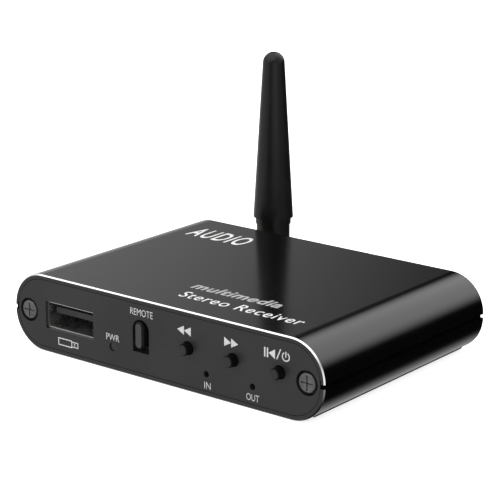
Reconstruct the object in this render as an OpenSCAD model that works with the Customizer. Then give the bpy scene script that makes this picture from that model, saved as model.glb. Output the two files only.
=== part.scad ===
// Bluetooth audio receiver: a black anodised two-part aluminium case with a tilting stub antenna.
// Millimetres. X runs along the front, Y from the front to the rear, Z up.
// The origin is the middle of the case's flat underside.

/* [Case] */
// Width of the case
case_w = 80; // [80:0.5:90]
// Depth of the case, panel to panel
case_d = 55; // [55:0.5:65]
// Height of the case
case_h = 16.4; // [16.4:0.1:17]
// Radius of the rounded long sides
side_r = 7.9; // [7.6:0.1:8.1]
// Wall of the extruded shells
wall = 1.0; // [1.0:0.05:1.1]
// Bright chamfer round both mouths of the case
mouth_chamfer = 0.25; // [0.2:0.05:0.45]
// Shadow gap between the upper and lower shell
seam_w = 0.9; // [0.6:0.1:1.0]

/* [Panels] */
// Thickness of the front and rear panels
panel_t = 2.0; // [2.0:0.1:2.2]
// Gap between a panel and the shells round it
panel_gap = 0.1; // [0.05:0.01:0.15]
// Distance of the panel screws from the middle
screw_x = 35.9; // [35.8:0.05:36.0]
// Diameter of a panel screw's head
screw_head_d = 3.9; // [3.6:0.1:4.0]
// Diameter of a panel screw's thread
screw_d = 1.9; // [1.8:0.05:2.0]

/* [Front controls] */
// Middle of the first push button
button_first_x = 7.1; // [7.0:0.05:7.2]
// Distance from one push button to the next
button_pitch = 11.2; // [11.0:0.1:11.3]
// Height of the push buttons
button_z = 8.9; // [8.6:0.1:9.0]
// Diameter of a push button
button_d = 2.4; // [2.3:0.1:2.8]
// How far a push button stands out of the panel
button_out = 1.8; // [1.5:0.1:2.5]
// Middle of the USB socket
usb_x = -24.55; // [-24.7:0.05:-24.3]
// Height of the USB socket's middle
usb_z = 8.13; // [8.1:0.01:8.2]
// Middle of the infrared window
window_x = -5.1; // [-5.3:0.1:-4.9]
// Middle of the USB lamp
usb_lamp_x = -12.7; // [-12.9:0.1:-12.5]

/* [Rear sockets] */
// Middle of the left phono output
phono_left_x = -14.5; // [-14.6:0.1:-14.4]
// Middle of the right phono output
phono_right_x = -3.5; // [-3.6:0.1:-3.4]
// Middle of the 3.5 mm socket
aux_x = 7.5; // [7.3:0.1:7.7]
// Middle of the mode switch
mode_x = 17; // [16.8:0.1:17.2]
// Middle of the power socket
power_x = 27.5; // [27.3:0.1:27.6]

/* [Antenna] */
// Middle of the antenna socket
antenna_x = -27.2; // [-27.4:0.1:-26.9]
// Height of the antenna socket's middle
antenna_z = 6.6; // [6.4:0.1:6.8]
// Distance of the whip from the rear panel's face
whip_back = 16; // [16:0.1:17]
// Height of the tip of the whip
whip_tip_z = 53.2; // [50:0.2:58]
// Diameter of the whip at its foot
whip_foot_d = 9.2; // [8.8:0.1:9.4]
// Diameter of the whip at its rounded tip
whip_tip_d = 5.0; // [4.6:0.1:5.4]

/* [Hidden] */

$fn = 64;
cut = 0.5;                    // how far a cutting tool passes a face
fit = 0.05;                   // gap between pieces that slip together
mid_z = case_h / 2;
front_y = -case_d / 2;
rear_y = case_d / 2;
inside_y = case_d / 2 - panel_t;
inner_w = case_w - 2 * wall;
inner_h = case_h - 2 * wall;
inner_r = side_r - wall;
inner_x = case_w / 2 - wall;

lip_gap = 0.1;                // lap joint between the shells
lip_t = 0.8;
lip_top = mid_z + 1.3;
lip_foot = mid_z - 1.8;
seam_foot = mid_z - seam_w / 2 - 0.1;
bead_r = 0.35;
boss_r = 2.4;

board_bottom = 2.4;
board_t = 1.2;
board_top = board_bottom + board_t;
board_w = 71;
board_d = case_d - 2 * panel_t - 0.6;

usb_w = 13.14;                // type A socket, outside of the shell
usb_h = 5.72;
usb_sheet = 0.3;
usb_len = 13.3;
usb_front = front_y + 0.6;
tongue_w = 11.1;
tongue_t = 1.25;
tongue_front = front_y + 2.1;
tongue_top = usb_z + usb_h / 2 - usb_sheet - 1.2;

window_w = 4.28;
window_bottom = 5.3;
window_arch_z = 10.0;
nose_r = 1.1;                 // lens that stands out through the infrared window
nose_edge = 0.35;
nose_bottom = 6.15;
nose_top = 11.85;
nose_front = front_y - 0.7;

usb_lamp_z = 4.93;
usb_lamp_hole_d = 1.8;
signal_x = [11.7, 23.05];
signal_z = 4.58;
signal_hole_d = 1.35;

buttons = [0, 1, 2];
button_hole_d = button_d + 0.4;
switch_w = 6;
switch_front = -inside_y + 0.2;
cover_t = 0.3;
switch_back = switch_front + 3.5;
dome_h = 0.5;

lead_y = 9.9;                 // antenna lead's plug on the Bluetooth module

phono_z = board_top + 5;
phono_barrel_d = 8.3;
phono_barrel_out = 8;
phono_box_d = 10.8;
phono_box_h = 10;
aux_z = board_top + 2.5;
aux_r = 1.8;
mode_z = board_top + 2;
mode_travel = 2;
power_w = 8.94;
power_h = 3.26;
power_z = board_top + power_h / 2;

thread_r = 3.1;
jack_end = rear_y + 8;
washer_t = 0.4;
jack_nut_t = 1.8;
nut_start = rear_y + 2.5;
nut_len = 6.8;
nut_flat = 8;
whip_y = rear_y + whip_back;
elbow_foot = nut_start + nut_len + 0.3;
elbow_t = 2.2;
tang_t = 2.8;
tang_r = 3.0;
slot_w = tang_t + 0.5;
slot_top = antenna_z + tang_r + 0.2;
pin_r = 0.78;
neck_r = 3.84;
collar_r = 4.08;
collar_z = 13.3;
whip_foot_z = 14.85;
plug_r = 3.0;
plug_top = whip_foot_z + 5;

// ---- helpers ----

// Rounded rectangle centred on x = 0, from z0 upwards, drawn in the XZ plane as a 2-D shape.
module round_rect(w, h, r, z0 = 0) {
    translate([-w / 2 + r, z0]) square([w - 2 * r, h]);
    translate([-w / 2, z0 + r]) square([w, h - 2 * r]);
    for (x = [-w / 2 + r, w / 2 - r], z = [z0 + r, z0 + h - r])
        translate([x, z]) circle(r, $fn = 96);
}

// Extrudes a 2-D XZ shape from y0 to y1.
module along_y(y0, y1) {
    translate([0, y1, 0]) rotate([90, 0, 0]) linear_extrude(y1 - y0) children();
}

// Round bar along Y.
module rod_y(r, y0, y1, x = 0, z = 0) {
    translate([x, y0, z]) rotate([-90, 0, 0]) cylinder(r = r, h = y1 - y0);
}

// Round bar along X.
module rod_x(r, x0, x1, y = 0, z = 0) {
    translate([x0, y, z]) rotate([0, 90, 0]) cylinder(r = r, h = x1 - x0);
}

// Tube along Y.
module tube_y(r_out, r_in, y0, y1, x = 0, z = 0) {
    difference() {
        rod_y(r_out, y0, y1, x, z);
        rod_y(r_in, y0 - cut, y1 + cut, x, z);
    }
}

// Round bar between two points that share the same X.
module rod_yz(r, a, b) {
    run = b - a;
    translate(a) rotate([atan2(run[2], run[1]) - 90, 0, 0]) cylinder(r = r, h = norm(run));
}

// Flat-sided slot shape centred on x = 0, z = 0, in the XZ plane as a 2-D shape.
module slot_2d(w, h) {
    square([w - h, h], center = true);
    for (x = [-(w - h) / 2, (w - h) / 2]) translate([x, 0]) circle(h / 2);
}

// Box from corner a to corner b.
module block(a, b) {
    translate(a) cube(b - a);
}

// The same shape at both ends of the case's width.
module both_sides() {
    children();
    mirror([1, 0, 0]) children();
}

// Hexagonal bar along Y with corners eased to a circle.
module hex_y(flat, y0, y1, x, z, ease) {
    corner = flat / sqrt(3);
    intersection() {
        translate([x, y0, z]) rotate([-90, 0, 0]) cylinder(r = corner, h = y1 - y0, $fn = 6);
        translate([x, y0, z]) rotate([-90, 0, 0]) rotate_extrude()
            polygon([[0, 0], [corner - ease, 0], [corner, ease], [corner, y1 - y0 - ease],
                     [corner - ease, y1 - y0], [0, y1 - y0]]);
    }
}

// ---- case ----

// Solid rounded bar with chamfered ends: the outside of the closed case.
module case_bar() {
    c = mouth_chamfer;
    d = case_d;
    end = [[0, 0], [side_r - c, 0], [side_r, c], [side_r, d - c], [side_r - c, d], [0, d]];
    for (x = [-case_w / 2 + side_r, case_w / 2 - side_r], z = [side_r, case_h - side_r])
        translate([x, front_y, z]) rotate([-90, 0, 0]) rotate_extrude($fn = 96) polygon(end);
    flat_w = case_w - 2 * side_r;
    translate([-flat_w / 2, 0, 0]) rotate([90, 0, 90]) linear_extrude(flat_w)
        polygon([[front_y, c], [front_y + c, 0], [rear_y - c, 0], [rear_y, c],
                 [rear_y, case_h - c], [rear_y - c, case_h], [front_y + c, case_h],
                 [front_y, case_h - c]]);
    w = case_w / 2;
    translate([0, 0, side_r]) linear_extrude(case_h - 2 * side_r)
        polygon([[-w, front_y + c], [-w + c, front_y], [w - c, front_y], [w, front_y + c],
                 [w, rear_y - c], [w - c, rear_y], [-w + c, rear_y], [-w, rear_y - c]]);
}

module cavity() {
    along_y(front_y - cut, rear_y + cut) round_rect(inner_w, inner_h, inner_r, wall);
}

// Band of a given depth that follows the inside of the walls, between two heights.
module wall_band(gap, depth, z0, z1) {
    intersection() {
        difference() {
            round_rect(inner_w - 2 * gap, inner_h - 2 * gap, inner_r - gap, wall + gap);
            round_rect(inner_w - 2 * depth, inner_h - 2 * depth, inner_r - depth, wall + depth);
        }
        translate([0, z0]) square([case_w, z1 - z0]);
    }
}

module lower_shell() {
    color("#1b1c1e") union() {
        difference() {
            intersection() {
                case_bar();
                block([-case_w, -case_d, -cut], [case_w, case_d, mid_z - seam_w / 2]);
            }
            cavity();
        }
        both_sides() difference() {
            along_y(-inside_y, inside_y) {
                wall_band(-0.02, lip_gap + lip_t, lip_foot, mid_z - seam_w / 2);
                wall_band(lip_gap, lip_gap + lip_t, lip_foot, lip_top);
                translate([inner_x - 0.3, seam_foot]) square([0.35, seam_w]);
                translate([inner_x - 0.25, mid_z + 0.8]) circle(bead_r);
                translate([screw_x, mid_z]) circle(boss_r);
                translate([screw_x, lip_foot]) square([inner_x - screw_x, 1.3]);
                // Two ribs that hold the edge of the board between them.
                translate([33.4, wall - 0.1]) square([2.8, board_bottom - wall + 0.1]);
                translate([34.6, board_top + fit]) square([3.7, 0.85]);
            }
            rod_y(screw_d / 2 + fit / 2, -inside_y - cut, inside_y + cut, screw_x, mid_z);
        }
        // Bottom of the shadow gap, set back at both mouths.
        both_sides() along_y(front_y + 0.15, rear_y - 0.6)
            translate([inner_x, seam_foot]) square([wall - 0.45, seam_w]);
    }
}

module upper_shell() {
    color("#1b1c1e") union() {
        difference() {
            intersection() {
                case_bar();
                block([-case_w, -case_d, mid_z + seam_w / 2], [case_w, case_d, case_h + cut]);
            }
            cavity();
            both_sides() along_y(front_y - cut, rear_y + cut)
                translate([inner_x - 0.25, mid_z + 0.8]) circle(bead_r + lip_gap);
        }
        // Ledges that rest on the lower shell's lips.
        both_sides() along_y(-inside_y, inside_y)
            wall_band(-0.02, lip_gap + lip_t, lip_top, lip_top + 0.9);
    }
}

module panel_plate(y0) {
    w = inner_w - 2 * panel_gap;
    h = inner_h - 2 * panel_gap;
    along_y(y0, y0 + panel_t) round_rect(w, h, inner_r - panel_gap, wall + panel_gap);
}

// Counterbored hole for a panel screw; out is -1 at the front and 1 at the rear.
module screw_hole(out) {
    face = out * case_d / 2;
    for (x = [-screw_x, screw_x]) {
        rod_y(screw_d / 2 + 0.2, face - 3, face + 3, x, mid_z);
        rod_y(screw_head_d / 2 + 0.55, face - (out < 0 ? 1 : 1.3), face + (out < 0 ? 1.3 : 1), x, mid_z);
    }
}

module front_panel() {
    color("#3a3a3b") difference() {
        panel_plate(front_y);
        screw_hole(-1);
        y0 = front_y - cut;
        y1 = front_y + panel_t + cut;
        block([usb_x - usb_w / 2 - fit, y0, usb_z - usb_h / 2 - fit],
              [usb_x + usb_w / 2 + fit, y1, usb_z + usb_h / 2 + fit]);
        block([window_x - window_w / 2, y0, window_bottom],
              [window_x + window_w / 2, y1, window_arch_z]);
        rod_y(window_w / 2, y0, y1, window_x, window_arch_z);
        rod_y(usb_lamp_hole_d / 2, y0, y1, usb_lamp_x, usb_lamp_z);
        for (x = signal_x) rod_y(signal_hole_d / 2, y0, y1, x, signal_z);
        for (i = buttons) rod_y(button_hole_d / 2, y0, y1, button_first_x + i * button_pitch, button_z);
    }
}

module rear_panel() {
    color("#3a3a3b") difference() {
        panel_plate(inside_y);
        screw_hole(1);
        y0 = inside_y - cut;
        y1 = rear_y + cut;
        for (x = [phono_left_x, phono_right_x]) rod_y(phono_barrel_d / 2 + 0.15, y0, y1, x, phono_z);
        rod_y(2.6, y0, y1, aux_x, aux_z);
        block([mode_x - 2.5, y0, mode_z - 1.1], [mode_x + 2.5, y1, mode_z + 1.1]);
        along_y(y0, y1) translate([power_x, power_z]) slot_2d(power_w + 0.5, power_h + 0.5);
        rod_y(thread_r + 0.1, y0, y1, antenna_x, antenna_z);
    }
}

// Cheese-head screw with a cross recess, its shank pointing along +Y from the head's face at y = 0.
module panel_screw() {
    head_h = 1.25;
    r = screw_head_d / 2;
    difference() {
        union() {
            rotate([-90, 0, 0]) rotate_extrude()
                polygon([[0, 0], [r - 0.2, 0], [r - 0.06, 0.07], [r, 0.25], [r, head_h], [0, head_h]]);
            rod_y(screw_d / 2, head_h, 9);
        }
        block([-1.5, -cut, -0.16], [1.5, 0.3, 0.16]);
        block([-0.16, -cut, -1.5], [0.16, 0.3, 1.5]);
        rod_y(0.32, -cut, 0.55);
    }
}

module front_screws() {
    color("#6d6e70") for (x = [-screw_x, screw_x])
        translate([x, front_y + 0.02, mid_z]) panel_screw();
}

module rear_screws() {
    color("#6d6e70") for (x = [-screw_x, screw_x])
        translate([x, rear_y - 0.02, mid_z]) rotate([0, 0, 180]) panel_screw();
}

// ---- board ----

module main_board() {
    color("#1f5a35") difference() {
        block([-board_w / 2, -board_d / 2, board_bottom], [board_w / 2, board_d / 2, board_top]);
        // Notch that clears the antenna jack.
        block([antenna_x - 5.4, 20, 0], [antenna_x + 5.4, board_d, board_top + cut]);
    }
}

module usb_socket_shell() {
    x0 = usb_x - usb_w / 2;
    z0 = usb_z - usb_h / 2;
    y1 = usb_front + usb_len;
    color("#c9cacb") difference() {
        union() {
            block([x0, usb_front, z0], [x0 + usb_w, y1, z0 + usb_h]);
            // Four legs down to the board.
            for (x = [x0, x0 + usb_w - usb_sheet], y = [-22, -17.5])
                block([x, y, board_top], [x + usb_sheet, y + 2.2, usb_z]);
        }
        block([x0 + usb_sheet, usb_front - cut, z0 + usb_sheet],
              [x0 + usb_w - usb_sheet, y1 + cut, z0 + usb_h - usb_sheet]);
        // Windows beside the spring fingers in the roof and the floor.
        for (x = [usb_x - 3.1, usb_x + 3.1], z = [z0, z0 + usb_h - usb_sheet]) difference() {
            block([x - 1.3, usb_front + 3, z - cut], [x + 1.3, usb_front + 10, z + usb_sheet + cut]);
            block([x - 0.9, usb_front + 3.6, z - 1], [x + 0.9, usb_front + 10.1, z + usb_sheet + 1]);
        }
    }
}

module usb_socket_insulator() {
    x0 = usb_x - usb_w / 2 + usb_sheet + fit;
    z0 = usb_z - usb_h / 2 + usb_sheet + fit;
    back = usb_front + usb_len;
    color("#202022") union() {
        block([x0, back - 3, z0], [usb_x + usb_w / 2 - usb_sheet - fit, back, z0 + 5.02]);
        block([usb_x - tongue_w / 2, tongue_front, tongue_top - tongue_t],
              [usb_x + tongue_w / 2, back - 2.9, tongue_top]);
    }
}

module usb_socket_contacts() {
    z = tongue_top - tongue_t;
    color("#c8a24a") for (x = [-3.5, -1, 1, 3.5]) {
        block([usb_x + x - 0.5, tongue_front + 0.9, z - 0.2],
              [usb_x + x + 0.5, usb_front + usb_len - 3, z]);
    }
}

// Receiver with a flat-faced lens, rounded at both ends and bevelled round the face.
module ir_receiver() {
    back = -inside_y + 3;
    low = nose_bottom + nose_r;
    high = nose_top - nose_r;
    depth = back - 1 - nose_front;
    face = nose_r - nose_edge;
    color("#17171a") union() {
        block([window_x - 2.9, -inside_y + 0.2, 5.0], [window_x + 2.9, back, 12.7]);
        translate([window_x, nose_front, low]) linear_extrude(high - low)
            polygon([[-face, 0], [face, 0], [nose_r, nose_edge], [nose_r, depth],
                     [-nose_r, depth], [-nose_r, nose_edge]]);
        for (z = [low, high]) translate([window_x, nose_front, z]) rotate([-90, 0, 0])
            rotate_extrude()
                polygon([[0, 0], [face, 0], [nose_r, nose_edge], [nose_r, depth], [0, depth]]);
    }
}

module ir_receiver_leads() {
    y = -inside_y + 1.6;
    color("#c9cacb") for (x = [-2, 0, 2])
        block([window_x + x - 0.25, y - 0.2, board_top], [window_x + x + 0.25, y + 0.2, 5.0]);
}

// Small round lamp that faces the front through its hole.
module usb_lamp() {
    r = usb_lamp_hole_d / 2 - fit;
    color("#4a4a4c") union() {
        rod_y(r, front_y + 0.3, -inside_y + 1.5, usb_lamp_x, usb_lamp_z);
        block([usb_lamp_x - 1.2, -inside_y + 0.3, board_top],
              [usb_lamp_x + 1.2, -inside_y + 1.5, usb_lamp_z + 1.1]);
    }
}

module signal_lamps() {
    color("#e8e4d0") for (x = signal_x)
        block([x - 0.9, -inside_y + 0.4, board_top], [x + 0.9, -inside_y + 1.4, board_top + 1.5]);
}

module at_button(i) {
    translate([button_first_x + i * button_pitch, 0, button_z]) children();
}

module switch_housings() {
    y0 = switch_front + cover_t;
    h = switch_w / 2;
    color("#232325") for (i = buttons) at_button(i) difference() {
        block([-h, y0, -h], [h, switch_back, h]);
        rod_y(2.4, y0 - cut, switch_back - 0.8);
    }
}

module switch_covers() {
    y0 = switch_front;
    h = switch_w / 2;
    color("#b9babc") for (i = buttons) at_button(i) {
        difference() {
            block([-h - cover_t, y0, -h], [h + cover_t, y0 + cover_t, h]);
            rod_y(button_d / 2 + 0.15, y0 - cut, y0 + cover_t + cut);
        }
        for (x = [-h - cover_t, h])
            block([x, y0 + cover_t, board_top - button_z], [x + cover_t, y0 + 2.6, h]);
    }
}

// Snap dome: a shallow spherical cap with its rim on the floor of the housing.
module switch_dome(i) {
    rim_y = switch_back - 0.8;
    rim_r = 1.9;
    t = 0.1;
    big = (rim_r * rim_r + dome_h * dome_h) / (2 * dome_h);
    color("#d8d8d8") at_button(i) intersection() {
        translate([0, rim_y - dome_h + big, 0]) difference() {
            sphere(big, $fn = 96);
            sphere(big - t, $fn = 96);
        }
        rod_y(rim_r, rim_y - dome_h - 0.1, rim_y);
    }
}

// Plunger of one push-button switch: stem, flange behind the cover and the nub on the dome.
module button_stem(i) {
    r = button_d / 2;
    tip = front_y - button_out;
    flange = switch_front + cover_t + fit;
    nub_end = switch_back - 0.8 - dome_h - 0.01;
    color("#38383a") at_button(i) union() {
        translate([0, tip, 0]) rotate([-90, 0, 0]) rotate_extrude()
            polygon([[0, 0], [r - 0.3, 0], [r - 0.14, 0.05], [r - 0.05, 0.14], [r, 0.3],
                     [r, flange - tip + 0.1], [0, flange - tip + 0.1]]);
        rod_y(2.2, flange, flange + 0.8);
        rod_y(1.0, flange + 0.7, nub_end);
    }
}

// ---- electronics on the board ----

module bluetooth_module() {
    z = board_top;
    color("#23262b") union() {
        block([-31, -9, z], [-17, 13, z + 0.8]);
        translate([antenna_x, lead_y, z + 0.8]) cylinder(r = 1.0, h = 0.8);
    }
}

module bluetooth_chip() {
    z = board_top + 0.8;
    color("#26272a") block([-27.5, -6, z], [-20.5, 1, z + 0.9]);
}

module antenna_lead_plug() {
    z = board_top + 1.0;
    color("#c8a24a") difference() {
        translate([antenna_x, lead_y, z]) cylinder(r = 1.35, h = 1.3);
        translate([antenna_x, lead_y, z - cut]) cylinder(r = 1.0 + fit, h = 0.65 + cut);
    }
}

// Short coaxial lead from the antenna jack down to the plug on the module.
module antenna_lead() {
    color("#2a2a2c")
        rod_yz(0.5, [antenna_x, 21.4, antenna_z], [antenna_x, lead_y + 1.35, board_top + 1.65]);
}

// The decoder and, behind it, the converter that feeds the phono sockets.
module audio_chips() {
    color("#232427") {
        block([-4.5, -9.5, board_top + 0.1], [2.5, -2.5, board_top + 1.5]);
        block([-6.5, 5, board_top + 0.1], [2.1, 8.9, board_top + 1.6]);
    }
}

// Flat lead that leaves a chip's side; dir turns it to face outward.
module chip_lead(x, y, dir, w = 0.25) {
    translate([x, y, board_top]) rotate(dir) block([0, -w / 2, 0], [0.9, w / 2, 0.15]);
}

module chip_leads() {
    pitch = 0.8;
    color("#c2c3c5") {
        for (i = [0:7], side = [0, 1]) {
            across = -9.5 + 0.7 + i * pitch;
            chip_lead(side == 0 ? -4.5 : 2.5, across, side == 0 ? 180 : 0);
            chip_lead(-4.5 + 0.7 + i * pitch, side == 0 ? -9.5 : -2.5, side == 0 ? 270 : 90);
        }
        for (i = [0:6], side = [0, 1])
            chip_lead(-6.5 + 0.5 + i * 1.27, side == 0 ? 5 : 8.9, side == 0 ? 270 : 90, 0.4);
    }
}

module voltage_regulator() {
    color("#232427") union() {
        block([21, 13, board_top], [27.5, 16.5, board_top + 1.6]);
        block([22.8, 16.4, board_top], [25.8, 18, board_top + 0.3]);
    }
}

module power_inductor() {
    color("#4c4d4f") union() {
        block([24.5, 2.5, board_top], [31.5, 9.5, board_top + 2.4]);
        translate([28, 6, board_top + 2.3]) cylinder(r = 2.9, h = 0.6);
    }
}

module clock_crystal() {
    color("#cfd0d2") translate([-8.4, -15.5, board_top]) linear_extrude(3.5) slot_2d(10.8, 4.4);
}

capacitor_places = [[10, -14], [16.5, -14], [23, -14], [10, 3], [16.5, 3], [-11, -3.5]];

module capacitor_cans() {
    color("#cdd0d3") for (p = capacitor_places)
        translate([p[0], p[1], board_top + 0.8]) cylinder(r = 2.5, h = 4.9);
}

module capacitor_bases() {
    color("#1d1d1f") for (p = capacitor_places)
        block([p[0] - 2.65, p[1] - 2.65, board_top], [p[0] + 2.65, p[1] + 2.65, board_top + 0.8]);
}

// One chip resistor or capacitor, 1.6 by 0.8 mm.
module chip_part(x, y, h, turned) {
    translate([x, y, board_top]) rotate(turned ? 90 : 0) block([-0.8, -0.4, 0], [0.8, 0.4, h]);
}

module chip_resistors() {
    color("#1a1a1c") {
        for (i = [0:7]) chip_part(6, -10 + 1.7 * i, 0.45, false);
        for (i = [0:5]) chip_part(-13 + 2.2 * i, 12, 0.45, true);
        for (i = [0:4]) chip_part(30, -15 + 1.8 * i, 0.45, false);
    }
}

module chip_capacitors() {
    color("#a9825a") {
        for (i = [0:5]) chip_part(-7.1, -10.5 + 3.3 * i, 0.8, true);
        for (i = [0:3]) chip_part(21 - 1.6 * i, 9.5, 0.8, true);
        for (i = [0:2]) chip_part(-15.6, -6 + 3 * i, 0.8, true);
    }
}

// ---- rear sockets ----

module phono_housings() {
    back = inside_y - 0.1;
    color("#1d1d1f") for (x = [phono_left_x, phono_right_x]) difference() {
        block([x - 5, back - phono_box_d, board_top], [x + 5, back, board_top + phono_box_h]);
        rod_y(phono_barrel_d / 2 + fit, back - 6, back + cut, x, phono_z);
    }
}

module phono_barrels() {
    y1 = rear_y + phono_barrel_out;
    color("#d9dadb") for (x = [phono_left_x, phono_right_x])
        tube_y(phono_barrel_d / 2, phono_barrel_d / 2 - 0.5, inside_y - 6, y1, x, phono_z);
}

module phono_insulator(x) {
    difference() {
        rod_y(phono_barrel_d / 2 - 0.5 - fit, inside_y - 6, rear_y + phono_barrel_out - 0.6, x, phono_z);
        rod_y(2.15, inside_y - 3, rear_y + phono_barrel_out + cut, x, phono_z);
    }
}

module left_phono_insulator() {
    color("#ececea") phono_insulator(phono_left_x);
}

module right_phono_insulator() {
    color("#b3201f") phono_insulator(phono_right_x);
}

module phono_centre_contacts() {
    color("#d9b45a") for (x = [phono_left_x, phono_right_x])
        tube_y(2.1, 1.65, rear_y + 0.5, rear_y + phono_barrel_out - 0.8, x, phono_z);
}

module aux_socket() {
    back = inside_y - 0.1;
    color("#1a1a1c") difference() {
        union() {
            block([aux_x - 3, back - 11.5, board_top], [aux_x + 3, back, board_top + 5]);
            rod_y(2.5, back - 1, rear_y + 0.15, aux_x, aux_z);
        }
        rod_y(aux_r, back - 10.5, rear_y + 1, aux_x, aux_z);
        // Slots beside the bore that hold the contact springs.
        for (side = [-1, 1]) translate([aux_x + side * 2.2, back - 9, aux_z])
            block([-0.25, 0, -1], [0.25, 5, 1]);
    }
}

module aux_socket_contacts() {
    back = inside_y - 0.1;
    color("#c8a24a") for (side = [-1, 1]) translate([aux_x + side * 2.22, back - 8.9, aux_z])
        block([-0.18, 0, -0.9], [0.18, 4.8, 0.9]);
}

module mode_switch_housing() {
    back = inside_y - 0.1;
    color("#a7a8aa") difference() {
        block([mode_x - 4.4, back - 4.4, board_top], [mode_x + 4.4, back, board_top + 4]);
        block([mode_x - 3.4, back - 3.2, mode_z - 1.5], [mode_x + 3.4, back - 0.4, mode_z + 1.5]);
        block([mode_x - 2.3, back - 1, mode_z - 0.9], [mode_x + 2.3, back + cut, mode_z + 0.9]);
    }
}

// Knob at its receive end; it slides along +X to transmit.
module mode_switch_knob() {
    back = inside_y - 0.1;
    x = mode_x - mode_travel / 2;
    color("#1f1f21") union() {
        block([x - 1.0, back - 0.9, mode_z - 0.8], [x + 1.0, rear_y + 1.5, mode_z + 0.8]);
        block([x - 2.2, back - 3.1, mode_z - 1.4], [x + 2.2, back - 0.5, mode_z + 1.4]);
    }
}

module power_socket_shell() {
    color("#c9cacb") difference() {
        union() {
            along_y(rear_y - 7.3, rear_y + 0.1)
                translate([power_x, power_z]) slot_2d(power_w, power_h);
            // Two pairs of legs on the board.
            for (x = [-power_w / 2, power_w / 2 - 0.3], y = [rear_y - 6.8, rear_y - 3.8])
                block([power_x + x, y, board_top], [power_x + x + 0.3, y + 1.1, power_z]);
        }
        along_y(rear_y - 7, rear_y + 1)
            translate([power_x, power_z]) slot_2d(power_w - 0.6, power_h - 0.6);
    }
}

module power_socket_tongue() {
    y0 = rear_y - 7 + fit;
    color("#202022") union() {
        block([power_x - 3.3, y0 + 1, power_z - 0.35], [power_x + 3.3, rear_y - 0.7, power_z + 0.35]);
        along_y(y0, y0 + 1.6) translate([power_x, power_z]) slot_2d(power_w - 0.7, power_h - 0.7);
    }
}

// ---- antenna jack on the rear panel ----

module antenna_jack() {
    x = antenna_x;
    z = antenna_z;
    color("#c9a552") difference() {
        union() {
            hex_y(8, inside_y - 1.8, inside_y - 0.02, x, z, 0.4);
            rod_y(2.6, 21, inside_y - 1.7, x, z);
            rod_y(thread_r - 0.3, inside_y - 1, jack_end, x, z);
            // Crests of the thread, as rings.
            for (i = [0:13]) translate([x, inside_y + 0.3 + i * 0.68, z]) rotate([-90, 0, 0])
                rotate_extrude() polygon([[0, 0], [thread_r - 0.3, 0], [thread_r, 0.22],
                                          [thread_r, 0.3], [thread_r - 0.3, 0.52], [0, 0.52]]);
        }
        rod_y(2.05, 21.5, jack_end + cut, x, z);
        rod_y(2.3, jack_end - 1.9, jack_end + cut, x, z);
        rod_y(0.65, 20, 22, x, z);
    }
}

module antenna_jack_insulator() {
    color("#f0efe8") tube_y(2.05 - 0.02, 0.66, 21.5, jack_end - 1.95, antenna_x, antenna_z);
}

module antenna_jack_contact() {
    color("#d9b45a") difference() {
        rod_y(0.64, 22.2, jack_end - 2, antenna_x, antenna_z);
        rod_y(0.5, jack_end - 4.6, jack_end, antenna_x, antenna_z);
    }
}

module antenna_jack_washer() {
    color("#c9cacb")
        tube_y(4.2, thread_r + fit, rear_y + 0.02, rear_y + washer_t, antenna_x, antenna_z);
}

module antenna_jack_nut() {
    y0 = rear_y + washer_t + 0.02;
    color("#c9a552") difference() {
        hex_y(nut_flat, y0, y0 + jack_nut_t - 0.02, antenna_x, antenna_z, 0.35);
        rod_y(thread_r + fit, y0 - cut, y0 + jack_nut_t + cut, antenna_x, antenna_z);
    }
}

// ---- antenna ----

module connector_body() {
    x = antenna_x;
    z = antenna_z;
    color("#c9a552") difference() {
        union() {
            rod_y(2.25, jack_end - 1.85, jack_end + 0.1, x, z);
            rod_y(3.0, jack_end + fit, jack_end + 0.35, x, z);
            rod_y(2.4, jack_end + 0.3, elbow_foot + 1.6, x, z);
            // Ring that keeps the elbow on.
            rod_y(2.8, elbow_foot + 1.15, elbow_foot + 1.6, x, z);
        }
        rod_y(2.0, jack_end - 3, jack_end - 0.4, x, z);
        rod_y(0.5, jack_end - 3, elbow_foot + 3, x, z);
    }
}

module centre_pin() {
    color("#d9b45a") rod_y(0.45, jack_end - 4, elbow_foot + 1.5, antenna_x, antenna_z);
}

module coupling_nut() {
    x = antenna_x;
    z = antenna_z;
    y1 = nut_start + nut_len;
    ring = nut_flat / 2 + 0.55;
    color("#c9a552") difference() {
        union() {
            hex_y(nut_flat, nut_start, y1 - 2, x, z, 0.5);
            // Knurled collar at the elbow end.
            difference() {
                rod_y(ring, y1 - 2.3, y1, x, z);
                for (i = [0:29]) translate([x, y1 - 2.4, z]) rotate([0, i * 12, 0])
                    translate([ring, 0, 0]) rotate([-90, 0, 0]) cylinder(r = 0.22, h = 3, $fn = 4);
            }
        }
        rod_y(thread_r + 0.1, nut_start - cut, jack_end + 0.4, x, z);
        rod_y(2.5, jack_end, y1 + cut, x, z);
    }
}

// Round foot that swivels on the connector, with the tang that the whip tilts on.
module elbow() {
    x = antenna_x;
    z = antenna_z;
    h = tang_t / 2;
    top = elbow_foot + elbow_t;
    color("#242426") difference() {
        union() {
            translate([x, elbow_foot, z]) rotate([-90, 0, 0]) rotate_extrude()
                polygon([[0, 0], [3.9, 0], [4.1, 0.2], [4.1, elbow_t - 0.5], [3.6, elbow_t],
                         [0, elbow_t]]);
            block([x - h, top - 0.1, z - tang_r], [x + h, whip_y, z + tang_r]);
            rod_x(tang_r, x - h, x + h, whip_y, z);
        }
        rod_x(pin_r + 0.02, x - 5, x + 5, whip_y, z);
        rod_y(2.42, elbow_foot - cut, elbow_foot + 1, x, z);
        rod_y(2.85, elbow_foot + 1.1, elbow_foot + 1.65, x, z);
        rod_y(2.42, elbow_foot + 0.9, elbow_foot + 1.2, x, z);
    }
}

module hinge_pin() {
    color("#b9babc") rod_x(pin_r, antenna_x - 3.5, antenna_x + 3.5, whip_y, antenna_z);
}

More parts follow.
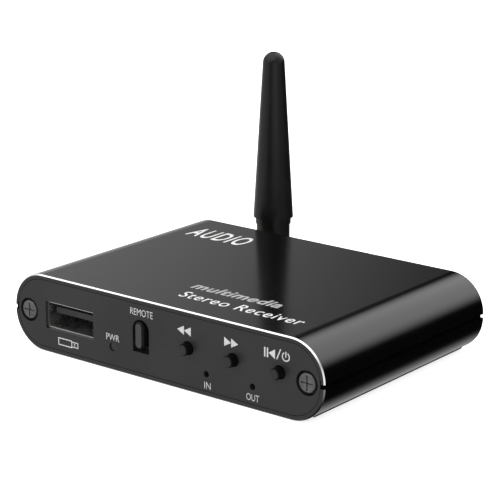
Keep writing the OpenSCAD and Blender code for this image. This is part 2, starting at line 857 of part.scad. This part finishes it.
// Fork, neck and collar of the whip, in one moulding.
module whip_base() {
    x = antenna_x;
    z = antenna_z;
    color("#222224") difference() {
        union() {
            intersection() {
                translate([x, whip_y, z - neck_r])
                    cylinder(r = neck_r, h = collar_z - z + neck_r + 0.1);
                union() {
                    rod_x(neck_r, x - 5, x + 5, whip_y, z);
                    block([x - 5, whip_y - 5, z], [x + 5, whip_y + 5, collar_z + 1]);
                }
            }
            translate([x, whip_y, collar_z]) cylinder(r = collar_r, h = whip_foot_z - collar_z);
            translate([x, whip_y, whip_foot_z - 0.1])
                cylinder(r = plug_r, h = plug_top - whip_foot_z + 0.1);
        }
        block([x - slot_w / 2, whip_y - 5, 0], [x + slot_w / 2, whip_y + 5, slot_top]);
        rod_x(pin_r + 0.02, x - 5, x + 5, whip_y, z);
        translate([x, whip_y, slot_top - cut]) cylinder(r = 0.9, h = plug_top - slot_top + 1);
    }
}

// Tapered rubber sleeve with a rounded tip, hollow for the radiator.
module whip_sleeve() {
    tip_r = whip_tip_d / 2;
    foot_r = whip_foot_d / 2;
    ball_z = whip_tip_z - tip_r;
    color("#222224") translate([antenna_x, whip_y, 0]) difference() {
        union() {
            translate([0, 0, whip_foot_z]) cylinder(r1 = foot_r, r2 = tip_r, h = ball_z - whip_foot_z);
            translate([0, 0, ball_z]) sphere(tip_r);
        }
        translate([0, 0, whip_foot_z - cut])
            cylinder(r = plug_r + fit, h = plug_top - whip_foot_z + cut + 0.1);
        translate([0, 0, plug_top])
            cylinder(r1 = plug_r - 0.4, r2 = 1.2, h = ball_z - plug_top - 1);
    }
}

// Lower half of the radiator: a brass tube on the end of the whip's base.
module radiator_tube() {
    color("#c9a552") translate([antenna_x, whip_y, plug_top]) difference() {
        cylinder(r = 1.9, h = 11);
        translate([0, 0, 0.5]) cylinder(r = 1.6, h = 12);
        translate([0, 0, -cut]) cylinder(r = 0.5, h = 2);
    }
}

// Upper half of the radiator: a wire that starts inside the tube.
module radiator_wire() {
    color("#b87333") translate([antenna_x, whip_y, slot_top + 3])
        cylinder(r = 0.45, h = whip_tip_z - slot_top - 8);
}

lower_shell();
upper_shell();
front_panel();
rear_panel();
front_screws();
rear_screws();
main_board();
usb_socket_shell();
usb_socket_insulator();
usb_socket_contacts();
ir_receiver();
ir_receiver_leads();
usb_lamp();
signal_lamps();
switch_housings();
switch_covers();
switch_dome(0);  // previous_switch_dome
switch_dome(1);  // next_switch_dome
switch_dome(2);  // play_switch_dome
button_stem(0);  // previous_button
button_stem(1);  // next_button
button_stem(2);  // play_button
bluetooth_module();
bluetooth_chip();
antenna_lead_plug();
antenna_lead();
audio_chips();
chip_leads();
voltage_regulator();
power_inductor();
clock_crystal();
capacitor_cans();
capacitor_bases();
chip_resistors();
chip_capacitors();
phono_housings();
phono_barrels();
left_phono_insulator();
right_phono_insulator();
phono_centre_contacts();
aux_socket();
aux_socket_contacts();
mode_switch_housing();
mode_switch_knob();
power_socket_shell();
power_socket_tongue();
antenna_jack();
antenna_jack_insulator();
antenna_jack_contact();
antenna_jack_washer();
antenna_jack_nut();
connector_body();
centre_pin();
coupling_nut();
elbow();
hinge_pin();
whip_base();
whip_sleeve();
radiator_tube();
radiator_wire();
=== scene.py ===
"""Bluetooth audio receiver: looks, printed marks, studio and camera round the CAD frame."""
import math

import bmesh
import bpy
from mathutils import Matrix, Vector


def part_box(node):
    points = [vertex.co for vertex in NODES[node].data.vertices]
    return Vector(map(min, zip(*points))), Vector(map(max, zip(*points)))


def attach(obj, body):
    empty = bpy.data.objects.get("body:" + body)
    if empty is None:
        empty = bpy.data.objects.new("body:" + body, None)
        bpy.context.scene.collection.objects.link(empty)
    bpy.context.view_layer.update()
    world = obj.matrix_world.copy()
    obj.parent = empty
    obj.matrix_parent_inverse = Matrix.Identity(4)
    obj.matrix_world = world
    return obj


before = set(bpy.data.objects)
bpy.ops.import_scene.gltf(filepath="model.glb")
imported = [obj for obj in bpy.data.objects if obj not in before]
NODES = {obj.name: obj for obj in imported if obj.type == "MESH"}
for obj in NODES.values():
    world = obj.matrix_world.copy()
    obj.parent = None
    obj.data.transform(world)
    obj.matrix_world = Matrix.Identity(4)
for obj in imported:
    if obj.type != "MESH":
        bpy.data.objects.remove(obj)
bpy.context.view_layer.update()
MM = 0.001

CASE_LO, CASE_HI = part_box("lower_shell")[0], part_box("upper_shell")[1]
FRONT_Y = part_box("front_panel")[0].y
TOP_Z = CASE_HI.z
SEAM_HALF = 0.44 * MM
FLOOR_GAP = 0.02 * MM


# ---------------------------------------------------------------- materials

def material(name, color, rough, metal=0.0, **sockets):
    """A new Principled material: (material, shader, node tree)."""
    mat = bpy.data.materials.new(name)
    mat.use_nodes = True
    tree = mat.node_tree
    shader = tree.nodes["Principled BSDF"]
    shader.inputs["Base Color"].default_value = (*color, 1)
    shader.inputs["Roughness"].default_value = rough
    shader.inputs["Metallic"].default_value = metal
    for key, value in sockets.items():
        shader.inputs[key.replace("_", " ")].default_value = value
    return mat, shader, tree


def node(tree, kind, inputs=None, **props):
    """A shader node with its properties and inputs set; an input may be a value or a socket."""
    made = tree.nodes.new(kind)
    for key, value in props.items():
        setattr(made, key, value)
    for key, value in (inputs or {}).items():
        if isinstance(value, bpy.types.NodeSocket):
            tree.links.new(value, made.inputs[key])
        else:
            made.inputs[key].default_value = value
    return made


def math_node(tree, operation, a, b=0.0):
    return node(tree, "ShaderNodeMath", {0: a, 1: b}, operation=operation).outputs[0]


def noise(tree, scale, detail=3.0, rough=0.55, stretch=(1, 1, 1)):
    """Noise in the object's own coordinates; scale is in features per metre."""
    place = node(tree, "ShaderNodeTexCoord").outputs["Object"]
    if stretch != (1, 1, 1):
        place = node(tree, "ShaderNodeMapping", {"Vector": place, "Scale": stretch}).outputs[0]
    made = node(tree, "ShaderNodeTexNoise",
                {"Vector": place, "Scale": scale, "Detail": detail, "Roughness": rough})
    return made.outputs["Fac"]


def spread(tree, fac, low, high, src=(0.3, 0.7)):
    """fac stretched from src to the range low..high."""
    made = node(tree, "ShaderNodeMapRange", {
        "Value": fac, "From Min": src[0], "From Max": src[1], "To Min": low, "To Max": high})
    return made.outputs[0]


def blend(tree, fac, low, high):
    made = node(tree, "ShaderNodeMix", {0: fac}, data_type="RGBA")
    for index, value in ((6, low), (7, high)):
        if isinstance(value, bpy.types.NodeSocket):
            tree.links.new(value, made.inputs[index])
        else:
            made.inputs[index].default_value = (*value, 1)
    return made.outputs[2]


def bump(tree, shader, height, strength, distance):
    made = node(tree, "ShaderNodeBump",
                {"Height": height, "Strength": strength, "Distance": distance})
    tree.links.new(made.outputs[0], shader.inputs["Normal"])
    return made


def edge_wear(tree, radius, low=0.02, high=0.25):
    """1 along convex edges, 0 elsewhere, from the bevelled normal."""
    round_normal = node(tree, "ShaderNodeBevel", {"Radius": radius}, samples=4).outputs[0]
    true_normal = node(tree, "ShaderNodeNewGeometry").outputs["Normal"]
    dot = node(tree, "ShaderNodeVectorMath", {0: round_normal, 1: true_normal},
               operation="DOT_PRODUCT").outputs["Value"]
    return spread(tree, math_node(tree, "SUBTRACT", 1.0, dot), 0.0, 1.0, (low, high))


def moulded(name, color, rough, grain=2500, depth=0.00002, strength=0.25, vary=0.25, **sockets):
    """Moulded plastic: a fine grain, slightly uneven gloss and tone."""
    mat, shader, tree = material(name, color, rough, **sockets)
    fine = noise(tree, grain, 2.0)
    cloudy = noise(tree, 120, 3.0)
    dark = tuple(c * (1 - vary) for c in color)
    light = tuple(min(1, c * (1 + vary)) for c in color)
    tree.links.new(blend(tree, spread(tree, cloudy, 0, 1), dark, light),
                   shader.inputs["Base Color"])
    tree.links.new(spread(tree, cloudy, rough * 0.9, min(1, rough * 1.12)),
                   shader.inputs["Roughness"])
    bump(tree, shader, fine, strength, depth)
    return mat


def paint_side_shade(mat, level):
    """Takes the gloss off the faces that don't look along Y, as painted shade on a part's sides."""
    tree = mat.node_tree
    facing = node(tree, "ShaderNodeSeparateXYZ",
                  {0: node(tree, "ShaderNodeTexCoord").outputs["Normal"]}).outputs["Y"]
    gloss = spread(tree, math_node(tree, "ABSOLUTE", facing), level, 0.5, (0.85, 0.98))
    tree.links.new(gloss, tree.nodes["Principled BSDF"].inputs["Specular IOR Level"])
    return mat


def plated(name, color, rough, brushed=(1, 1, 1), grain=4000, strength=0.08, tarnish=0.15, **sockets):
    """Plated metal: soft brushing, patches of slightly duller plate."""
    mat, shader, tree = material(name, color, rough, 1.0, **sockets)
    fine = noise(tree, grain, 3.0, stretch=brushed)
    cloudy = noise(tree, 260, 3.0)
    dull = tuple(c * (1 - tarnish) for c in color)
    tree.links.new(blend(tree, spread(tree, cloudy, 0, 1), dull, color),
                   shader.inputs["Base Color"])
    tree.links.new(spread(tree, cloudy, rough * 0.75, rough * 1.4), shader.inputs["Roughness"])
    bump(tree, shader, fine, strength, 0.00001)
    return mat


def outside_painted_seam_shade(tree):
    """0 in the groove between the two shells, which loses its gloss as painted shade, and 1
    elsewhere.
    """
    height = node(tree, "ShaderNodeSeparateXYZ",
                  {0: node(tree, "ShaderNodeTexCoord").outputs["Object"]}).outputs["Z"]
    away = math_node(tree, "ABSOLUTE", math_node(tree, "SUBTRACT", height, TOP_Z / 2))
    return math_node(tree, "GREATER_THAN", away, SEAM_HALF)


def anodised(name, color, rough, gloss_level, cut=None):
    """Bead-blasted black anodising; the 45 degree cuts at a shell's mouths are bare metal in the
    colour cut, which on the lower shell is darkened as painted shade.
    """
    mat, shader, tree = material(name, color, rough)
    shader.inputs["IOR"].default_value = 1.55
    shader.inputs["Specular IOR Level"].default_value = gloss_level
    blast = noise(tree, 5200, 2.0)
    cloudy = noise(tree, 60, 3.0)
    light = tuple(c * 1.35 for c in color)
    tone = blend(tree, spread(tree, cloudy, 0, 1), color, light)
    gloss = spread(tree, cloudy, rough * 0.94, rough * 1.06)
    if cut:
        facing = node(tree, "ShaderNodeSeparateXYZ",
                      {0: node(tree, "ShaderNodeTexCoord").outputs["Normal"]}).outputs["Y"]
        slope = math_node(tree, "ABSOLUTE", facing)
        # The slope is 0 along the extrusion, 0.7 on the cuts and 1 on the ends.
        above = math_node(tree, "GREATER_THAN", slope, 0.35)
        below = math_node(tree, "LESS_THAN", slope, 0.93)
        bare = math_node(tree, "MULTIPLY", above, below)
        turning = noise(tree, 9000, 2.0, stretch=(0.05, 1, 0.05))
        tone = blend(tree, bare, tone, cut)
        cut_gloss = spread(tree, turning, 0.22, 0.34)
        gloss = node(tree, "ShaderNodeMix", {0: bare, 2: gloss, 3: cut_gloss}).outputs[0]
        tree.links.new(bare, shader.inputs["Metallic"])
        # No gloss in the groove between the shells: painted shade.
        tree.links.new(math_node(tree, "MULTIPLY", outside_painted_seam_shade(tree), gloss_level),
                       shader.inputs["Specular IOR Level"])
    tree.links.new(tone, shader.inputs["Base Color"])
    tree.links.new(gloss, shader.inputs["Roughness"])
    bump(tree, shader, blast, 0.12, 0.00001)
    return mat


def screw_nickel():
    """Dull nickel screw, rubbed paler on its edges."""
    mat, shader, tree = material("screw_nickel", (0.15, 0.15, 0.15), 0.5, 0.9)
    worn = edge_wear(tree, 0.00008)
    turned = noise(tree, 5000, 2.0)
    cloudy = noise(tree, 900, 2.0)
    plate = blend(tree, spread(tree, cloudy, 0, 1), (0.125, 0.125, 0.127), (0.18, 0.18, 0.18))
    tree.links.new(blend(tree, worn, plate, (0.34, 0.34, 0.34)), shader.inputs["Base Color"])
    tree.links.new(spread(tree, turned, 0.42, 0.58), shader.inputs["Roughness"])
    bump(tree, shader, turned, 0.12, 0.00001)
    return mat


def board_material(name, mask_color, trace_color):
    """Solder mask over copper traces."""
    mat, shader, tree = material(name, mask_color, 0.28)
    place = node(tree, "ShaderNodeTexCoord").outputs["Object"]
    weave = node(tree, "ShaderNodeTexVoronoi", {"Vector": place, "Scale": 420},
                 distance="MANHATTAN", feature="DISTANCE_TO_EDGE").outputs["Distance"]
    lines = spread(tree, weave, 1.0, 0.0, (0.02, 0.06))
    tree.links.new(blend(tree, lines, mask_color, trace_color), shader.inputs["Base Color"])
    bump(tree, shader, lines, 0.3, 0.00003)
    return mat


def printed(name, color):
    """Screen-printed ink: nearly white, slightly thin in places."""
    mat, shader, tree = material(name, color, 0.45)
    thin = noise(tree, 3000, 3.0)
    dim = tuple(c * 0.88 for c in color)
    tree.links.new(blend(tree, spread(tree, thin, 0, 1), dim, color), shader.inputs["Base Color"])
    bump(tree, shader, thin, 0.2, 0.00001)
    return mat


BRUSH_Y = (1, 0.05, 1)
BLACK = (0.0005, 0.0005, 0.0006)

SHELL = anodised("shell_black", BLACK, 0.15, 0.5, cut=(0.93, 0.93, 0.94))
# The lower shell's bare cuts are painted dark grey instead of bright aluminium: painted shade on its
# cuts.
BASE_SHELL_SHADED_CUTS = anodised("base_shell_black_shaded_cuts", BLACK, 0.15, 0.5, cut=(0.24, 0.24, 0.24))
PANEL = anodised("panel_black", (0.0145, 0.0145, 0.0149), 0.38, 0.24)
SCREW = screw_nickel()
SOCKET = moulded("socket_black", (0.010, 0.010, 0.010), 0.5)
TONGUE = moulded("tongue_grey", (0.030, 0.030, 0.030), 0.5, Specular_IOR_Level=0.2)
# Painted shade: the sides of the button caps lose their gloss.
BUTTON = paint_side_shade(moulded("button_black", (0.004, 0.004, 0.004), 0.36, grain=3500), 0.03)
CHIP = moulded("chip_epoxy", (0.012, 0.012, 0.013), 0.55, grain=6000)
ANTENNA = moulded("antenna_black", (0.0045, 0.0045, 0.0045), 0.33, grain=3800, strength=0.18,
                  Specular_IOR_Level=0.3)
LEAD = moulded("lead_black", (0.010, 0.010, 0.010), 0.4)
FERRITE = moulded("ferrite_grey", (0.055, 0.055, 0.06), 0.7, grain=5000, strength=0.5)
WHITE = moulded("insulator_white", (0.72, 0.72, 0.70), 0.35, vary=0.04)
RED = moulded("insulator_red", (0.50, 0.012, 0.012), 0.35, vary=0.08)
TAN = moulded("ceramic_tan", (0.33, 0.20, 0.10), 0.5, vary=0.12)
# Painted shade: the sides of the infrared lens lose their gloss.
INFRARED = paint_side_shade(moulded("infrared_black", (0.0060, 0.0056, 0.0062), 0.30, strength=0.03,
                                IOR=1.75), 0.05)
LAMP = moulded("lamp_smoked", (0.012, 0.012, 0.012), 0.36, strength=0.05, vary=0.1)
CLEAR = moulded("lamp_clear", (0.62, 0.60, 0.44), 0.2, vary=0.1)
NICKEL = plated("plate_nickel", (0.74, 0.73, 0.71), 0.20, BRUSH_Y)
SOCKET_PLATE = plated("plate_socket", (0.74, 0.74, 0.73), 0.28, BRUSH_Y, Metallic=0.97)
TIN = plated("plate_tin", (0.70, 0.70, 0.69), 0.32)
STEEL_BRIGHT = plated("steel_bright", (0.78, 0.78, 0.77), 0.22)
GOLD_PLATE = plated("plate_gold", (0.83, 0.61, 0.27), 0.22, tarnish=0.2)
CAN = plated("can_aluminium", (0.80, 0.81, 0.82), 0.3)
COPPER = plated("wire_copper", (0.72, 0.36, 0.20), 0.3)
GREEN = board_material("board_green", (0.006, 0.045, 0.018), (0.012, 0.085, 0.035))
BLUE = board_material("board_blue", (0.004, 0.012, 0.035), (0.008, 0.025, 0.07))
INK = printed("ink_white", (0.90, 0.90, 0.89))
INK_PALE = printed("ink_pale", (0.47, 0.47, 0.47))
INK_GREY = printed("ink_grey", (0.45, 0.45, 0.45))

LOOKS = {
    SHELL: ["upper_shell"],
    BASE_SHELL_SHADED_CUTS: ["lower_shell"],
    PANEL: ["front_panel", "rear_panel"],
    SCREW: ["front_screws", "rear_screws", "hinge_pin"],
    GREEN: ["main_board"],
    BLUE: ["bluetooth_module"],
    NICKEL: ["usb_socket_contacts", "switch_covers", "phono_barrels", "mode_switch_housing",
             "power_socket_shell"],
    SOCKET_PLATE: ["usb_socket_shell"],
    TONGUE: ["usb_socket_insulator"],
    SOCKET: ["switch_housings", "capacitor_bases", "phono_housings",
             "aux_socket", "power_socket_tongue"],
    GOLD_PLATE: ["antenna_lead_plug", "phono_centre_contacts",
                 "aux_socket_contacts", "antenna_jack", "antenna_jack_contact",
                 "antenna_jack_nut", "connector_body", "centre_pin", "coupling_nut",
                 "radiator_tube"],
    INFRARED: ["ir_receiver"],
    TIN: ["ir_receiver_leads", "chip_leads", "clock_crystal", "antenna_jack_washer"],
    LAMP: ["usb_lamp"],
    CLEAR: ["signal_lamps"],
    STEEL_BRIGHT: ["previous_switch_dome", "next_switch_dome", "play_switch_dome"],
    BUTTON: ["previous_button", "next_button", "play_button", "mode_switch_knob"],
    CHIP: ["bluetooth_chip", "audio_chips", "voltage_regulator", "chip_resistors"],
    LEAD: ["antenna_lead"],
    FERRITE: ["power_inductor"],
    CAN: ["capacitor_cans"],
    TAN: ["chip_capacitors"],
    WHITE: ["left_phono_insulator", "antenna_jack_insulator"],
    RED: ["right_phono_insulator"],
    ANTENNA: ["elbow", "whip_base", "whip_sleeve"],
    COPPER: ["radiator_wire"],
}
for look, names in LOOKS.items():
    for name in names:
        slots = NODES[name].data.materials
        slots.clear()
        slots.append(look)


# ---------------------------------------------------------------- printed marks

PRINT_GAP = 0.02 * MM
PRINT_THICK = 0.01 * MM


def print_piece(name, mesh, where, ink):
    """A flat mark drawn in the XY plane, laid on a face by the matrix where."""
    mesh.transform(where)
    piece = bpy.data.objects.new(name, mesh)
    bpy.context.scene.collection.objects.link(piece)
    mesh.materials.clear()
    mesh.materials.append(ink)
    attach(piece, "case")
    return piece


def on_front(x, z):
    """XY drawing to the front panel's face, its origin at (x, z) in millimetres."""
    upright = Matrix.Rotation(math.pi / 2, 4, "X")
    return Matrix.Translation((x * MM, FRONT_Y - PRINT_GAP, z * MM)) @ upright


def by_node(name, x=0.0, z=0.0):
    """The same, with x measured from the middle of a node and z from the case's underside."""
    low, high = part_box(name)
    return on_front((low.x + high.x) / 2 / MM + x, z)


def on_top(x, y):
    """XY drawing to the top, its origin at (x, y) in millimetres from the middle of the case."""
    return Matrix.Translation((x * MM, y * MM, TOP_Z + PRINT_GAP))


def word_mesh(text, width, height, weight=0.0, lean=0.0, spacing=1.0):
    """The outline of a word, fitted to width by height millimetres with its lower left at 0, 0."""
    curve = bpy.data.curves.new("word", "FONT")
    curve.body = text
    curve.size = 1.0
    curve.offset = weight
    curve.shear = lean
    curve.space_character = spacing
    curve.resolution_u = 6
    made = bpy.data.objects.new("word", curve)
    bpy.context.scene.collection.objects.link(made)
    bpy.context.view_layer.update()
    mesh = bpy.data.meshes.new_from_object(made)
    bpy.data.objects.remove(made)
    low = [min(v.co[i] for v in mesh.vertices) for i in (0, 1)]
    high = [max(v.co[i] for v in mesh.vertices) for i in (0, 1)]
    mesh.transform(Matrix.Diagonal((width * MM / (high[0] - low[0]),
                                    height * MM / (high[1] - low[1]), 1, 1))
                   @ Matrix.Translation((-low[0], -low[1], 0)))
    return thicken(mesh)


def thicken(mesh):
    """Gives a flat drawing the thickness of a coat of ink."""
    bm = bmesh.new()
    bm.from_mesh(mesh)
    grown = bmesh.ops.extrude_face_region(bm, geom=bm.faces[:])
    for item in grown["geom"]:
        if isinstance(item, bmesh.types.BMVert):
            item.co.z += PRINT_THICK
    bmesh.ops.recalc_face_normals(bm, faces=bm.faces)
    bm.to_mesh(mesh)
    bm.free()
    return mesh


def shape_mesh(outlines):
    """Flat faces from lists of (x, y) points in millimetres."""
    bm = bmesh.new()
    for outline in outlines:
        bm.faces.new([bm.verts.new((x * MM, y * MM, 0)) for x, y in outline])
    bmesh.ops.recalc_face_normals(bm, faces=bm.faces)
    mesh = bpy.data.meshes.new("shape")
    bm.to_mesh(mesh)
    bm.free()
    return thicken(mesh)


def bar(x0, y0, x1, y1):
    return [(x0, y0), (x1, y0), (x1, y1), (x0, y1)]


def outline(x0, y0, x1, y1, line):
    """Four bars round a rectangle: bottom, top, right and left."""
    return [bar(x0, y0, x1, y0 + line), bar(x0, y1 - line, x1, y1),
            bar(x1 - line, y0 + line, x1, y1 - line), bar(x0, y0 + line, x0 + line, y1 - line)]


def stroke(ax, ay, bx, by, width):
    """A straight stroke from a to b."""
    run = Vector((bx - ax, by - ay)).normalized() * width / 2
    side = Vector((-run.y, run.x))
    return [(ax + side.x, ay + side.y), (ax - side.x, ay - side.y),
            (bx - side.x, by - side.y), (bx + side.x, by + side.y)]


def ring(cx, cy, radius, width, start, end, steps=28):
    """Quads along an arc, in degrees anticlockwise from +X."""
    quads = []
    angles = [math.radians(start + (end - start) * i / steps) for i in range(steps + 1)]
    inner, outer = radius - width / 2, radius + width / 2
    for a, b in zip(angles, angles[1:]):
        quads.append([(cx + r * math.cos(t), cy + r * math.sin(t))
                      for r, t in ((inner, a), (outer, a), (outer, b), (inner, b))])
    return quads


def triangle(tip_x, base_x, low, high):
    return [(tip_x, (low + high) / 2), (base_x, low), (base_x, high)]


# Front panel: words (name, text, node, left from the node's middle, bottom, width, height).
for name, text, beside, x, z, width, height in (
        ("print_power", "PWR", "usb_lamp", -1.65, 6.27, 3.5, 1.36),
        ("print_remote", "REMOTE", "ir_receiver", -2.65, 12.92, 5.9, 1.42),
        ("print_in", "IN", "signal_lamps", -6.175, 1.62, 1.6, 1.38),
        ("print_out", "OUT", "signal_lamps", 4.225, 1.72, 3.1, 1.38)):
    word = word_mesh(text, width, height, weight=-0.002)
    print_piece(name, word, by_node(beside, x, z), INK_PALE)

# Front panel: transport and standby symbols above the push buttons.
previous = [triangle(-2.68, -0.95, 11.42, 13.25), triangle(-0.95, 0.78, 11.42, 13.25)]
print_piece("print_previous", shape_mesh(previous), by_node("previous_button"), INK_PALE)
following = [triangle(-0.38, -2.08, 11.33, 13.15), triangle(1.32, -0.38, 11.33, 13.15)]
print_piece("print_next", shape_mesh(following), by_node("next_button"), INK_PALE)
play = [bar(-3.64, 11.3, -3.31, 13.2), bar(-2.99, 11.3, -2.66, 13.2),
        triangle(-2.58, -1.04, 11.3, 13.2), stroke(-0.64, 11.4, 0.28, 13.5, 0.25)]
print_piece("print_play", shape_mesh(play), by_node("play_button"), INK_PALE)
standby = ring(1.5, 12.27, 0.82, 0.24, 120, 420) + [stroke(1.5, 12.15, 1.5, 13.28, 0.24)]
print_piece("print_standby", shape_mesh(standby), by_node("play_button"), INK_PALE)

# A memory stick under the USB socket: its body, its plug (open towards the body) and two contacts.
stick = (outline(0, 0, 3.9, 1.63, 0.22) + outline(3.9, 0.2, 5.6, 1.43, 0.2)[:3]
         + [bar(4.4, 0.55, 4.75, 0.73), bar(4.4, 0.9, 4.75, 1.08)])
print_piece("print_memory_stick", shape_mesh(stick), on_front(-27.8, 2.25), INK_PALE)

# Top: generic words in the places of the maker's.
print_piece("print_top_large", word_mesh("AUDIO", 15.4, 6.4, 0.012, spacing=1.15),
            on_top(-29.4, 14.5), INK)
print_piece("print_top_small", word_mesh("multimedia", 22.2, 3.5, 0.03, 0.1, 1.08),
            on_top(-2.6, -15.4), INK_GREY)
print_piece("print_top_line", word_mesh("Stereo Receiver", 30.1, 3.5, 0.005, spacing=1.1),
            on_top(-1.05, -21.1), INK)


# ---------------------------------------------------------------- studio

DARK_ROOM = 0.008


def floor():
    """A plain pale table top that no gloss mirrors."""
    mesh = bpy.data.meshes.new("floor")
    bm = bmesh.new()
    bmesh.ops.create_grid(bm, x_segments=8, y_segments=8, size=6.0)
    bm.to_mesh(mesh)
    bm.free()
    made = bpy.data.objects.new("floor", mesh)
    made.location.z = CASE_LO.z - FLOOR_GAP
    bpy.context.scene.collection.objects.link(made)
    mat, shader, tree = material("floor_white", (0.93, 0.93, 0.93), 0.9)
    shader.inputs["Emission Color"].default_value = (1, 1, 1, 1)
    shader.inputs["Emission Strength"].default_value = 0.75
    shader.inputs["Specular IOR Level"].default_value = 0.0
    mesh.materials.append(mat)
    made.visible_glossy = False


def studio_world():
    """A white room, but gloss mirrors a dark one with soft patches of light in it."""
    world = bpy.data.worlds.new("studio")
    bpy.context.scene.world = world
    world.use_nodes = True
    tree = world.node_tree
    background = tree.nodes["Background"]
    background.inputs["Color"].default_value = (1, 1, 1, 1)
    toward = node(tree, "ShaderNodeTexCoord").outputs["Generated"]

    def patch(direction, wide, tight, strength):
        """Light that starts wide degrees from a direction and is full within tight degrees."""
        d = Vector(direction).normalized()
        dot = node(tree, "ShaderNodeVectorMath", {0: toward, 1: tuple(d)},
                   operation="DOT_PRODUCT").outputs["Value"]
        made = node(tree, "ShaderNodeMapRange", {
            "Value": dot, "From Min": math.cos(math.radians(wide)),
            "From Max": math.cos(math.radians(tight)), "To Min": 0.0, "To Max": strength},
            interpolation_type="SMOOTHSTEP")
        return made.outputs[0]

    total = DARK_ROOM
    for direction, wide, tight, strength in (
            ((-0.10, -0.35, 0.93), 64, 28, 1.8),     # ceiling, towards the front
            ((0.19, 0.73, 0.65), 40, 14, 1.95),      # soft box high behind
            ((-0.92, 0.38, 0.20), 39, 16, 0.57),     # wall to the left
            ((0.92, 0.20, 0.34), 34, 12, 0.8),       # wall to the right
            ((-0.60, 0.60, -0.60), 50, 22, 0.55),    # bounce from the table behind
            ((-0.70, -0.68, -0.28), 62, 12, 0.78),   # bounce from the table in front
            ((0.78, -0.62, -0.20), 38, 10, 1.0)):    # bounce from the table to the right
        total = math_node(tree, "ADD", patch(direction, wide, tight, strength), total)
    ray = node(tree, "ShaderNodeLightPath").outputs["Is Glossy Ray"]
    shade = node(tree, "ShaderNodeMix", {0: ray, 2: 1.0, 3: total}).outputs[0]
    tree.links.new(shade, background.inputs["Strength"])


def softbox(name, place, target, size, power):
    """An area light that only lights, and isn't mirrored."""
    light = bpy.data.lights.new(name, "AREA")
    light.shape = "RECTANGLE"
    light.size, light.size_y = size
    light.energy = power
    made = bpy.data.objects.new(name, light)
    made.location = place
    made.rotation_euler = (Vector(target) - Vector(place)).to_track_quat("-Z", "Y").to_euler()
    made.visible_camera = False
    made.visible_glossy = False
    bpy.context.scene.collection.objects.link(made)


floor()
studio_world()
softbox("key", (-0.5, -0.3, 0.9), (0, 0, 0), (0.9, 0.9), 5.0)


# ---------------------------------------------------------------- camera

AZIMUTH, ELEVATION = math.radians(38.534), math.radians(15.992)
CAMERA_PLACE = Vector((236.63, -296.40, 129.93)) * MM
LENS = 138.71

camera = bpy.data.objects.new("camera", bpy.data.cameras.new("camera"))
bpy.context.scene.collection.objects.link(camera)
back = Vector((math.sin(AZIMUTH) * math.cos(ELEVATION), -math.cos(AZIMUTH) * math.cos(ELEVATION),
               math.sin(ELEVATION)))
camera.location = CAMERA_PLACE
camera.rotation_euler = (-back).to_track_quat("-Z", "Y").to_euler()
camera.data.sensor_width = 36
camera.data.lens = LENS
camera.data.clip_start, camera.data.clip_end = 0.01, 50
bpy.context.scene.camera = camera
bpy.context.scene.view_settings.view_transform = "Standard"
